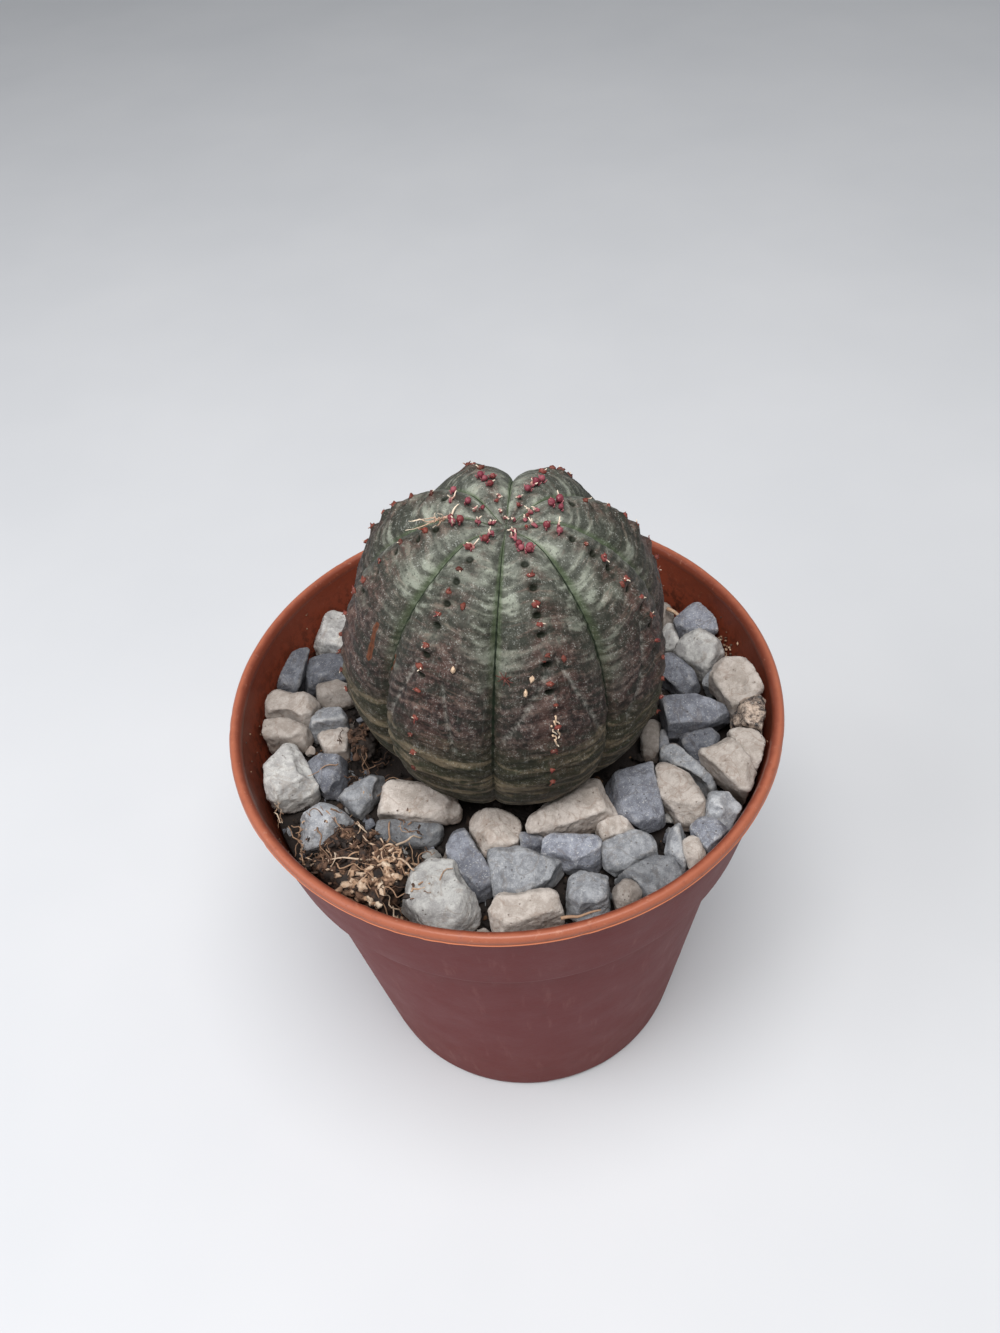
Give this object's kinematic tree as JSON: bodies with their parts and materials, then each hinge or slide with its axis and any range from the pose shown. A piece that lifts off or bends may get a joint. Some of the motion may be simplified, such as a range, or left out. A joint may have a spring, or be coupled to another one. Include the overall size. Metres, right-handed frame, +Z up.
{
  "type": "potted baseball plant",
  "caption": "Round ribbed baseball plant in a small plastic nursery pot, its potting mix dressed with crushed slate and limestone.",
  "frame": {"origin": "centre of the pot's base, on the surface it stands on", "axes": "+Z up along the pot's axis, from the base towards the plant's crown; -Y is the front, the side with the coir clump at its left"},
  "size_m": [0.065, 0.065, 0.0887],
  "materials": {
    "pot_plastic": "moulded terracotta-brown polypropylene, satin",
    "potting_mix": "dark damp peat, crumbly and matt",
    "plant_skin": "waxy grey-green skin with purple-brown bands and pale bloom",
    "slate": "dark blue-grey broken slate, matt",
    "grey_limestone": "grey limestone, matt",
    "pale_limestone": "pale grey limestone, matt",
    "cream_limestone": "cream limestone with brown-stained sides, matt",
    "mottled_chert": "black and cream mottled chert, matt",
    "coir": "coarse tan coir with fine roots"
  },
  "bodies": {
    "root": {"pot": "pot_plastic", "potting_mix": "potting_mix", "baseball_plant": "plant_skin", "coir_clump": "coir", "cream_limestone_01": "cream_limestone", "cream_limestone_02": "cream_limestone", "cream_limestone_03": "cream_limestone", "cream_limestone_04": "cream_limestone", "cream_limestone_05": "cream_limestone", "cream_limestone_06": "cream_limestone", "cream_limestone_07": "cream_limestone", "cream_limestone_08": "cream_limestone", "cream_limestone_09": "cream_limestone", "cream_limestone_10": "cream_limestone", "cream_limestone_11": "cream_limestone", "cream_limestone_12": "cream_limestone", "cream_limestone_13": "cream_limestone", "cream_limestone_14": "cream_limestone", "cream_limestone_15": "cream_limestone", "cream_limestone_16": "cream_limestone", "cream_limestone_17": "cream_limestone", "grey_limestone_01": "grey_limestone", "grey_limestone_02": "grey_limestone", "grey_limestone_03": "grey_limestone", "grey_limestone_04": "grey_limestone", "grey_limestone_05": "grey_limestone", "grey_limestone_06": "grey_limestone", "grey_limestone_07": "grey_limestone", "grey_limestone_08": "grey_limestone", "grey_limestone_09": "grey_limestone", "grey_limestone_10": "grey_limestone", "grey_limestone_11": "grey_limestone", "grey_limestone_12": "grey_limestone", "grey_limestone_13": "grey_limestone", "grey_limestone_14": "grey_limestone", "mottled_chert_01": "mottled_chert", "pale_limestone_01": "pale_limestone", "pale_limestone_02": "pale_limestone", "pale_limestone_03": "pale_limestone", "pale_limestone_04": "pale_limestone", "pale_limestone_05": "pale_limestone", "pale_limestone_06": "pale_limestone", "peat_clump": "potting_mix", "slate_01": "slate", "slate_02": "slate", "slate_03": "slate", "slate_04": "slate", "slate_05": "slate", "slate_06": "slate", "slate_07": "slate", "slate_08": "slate", "slate_09": "slate", "slate_10": "slate", "slate_11": "slate", "slate_12": "slate", "slate_13": "slate", "slate_14": "slate", "slate_15": "slate", "slate_16": "slate"}
  },
  "joints": []
}
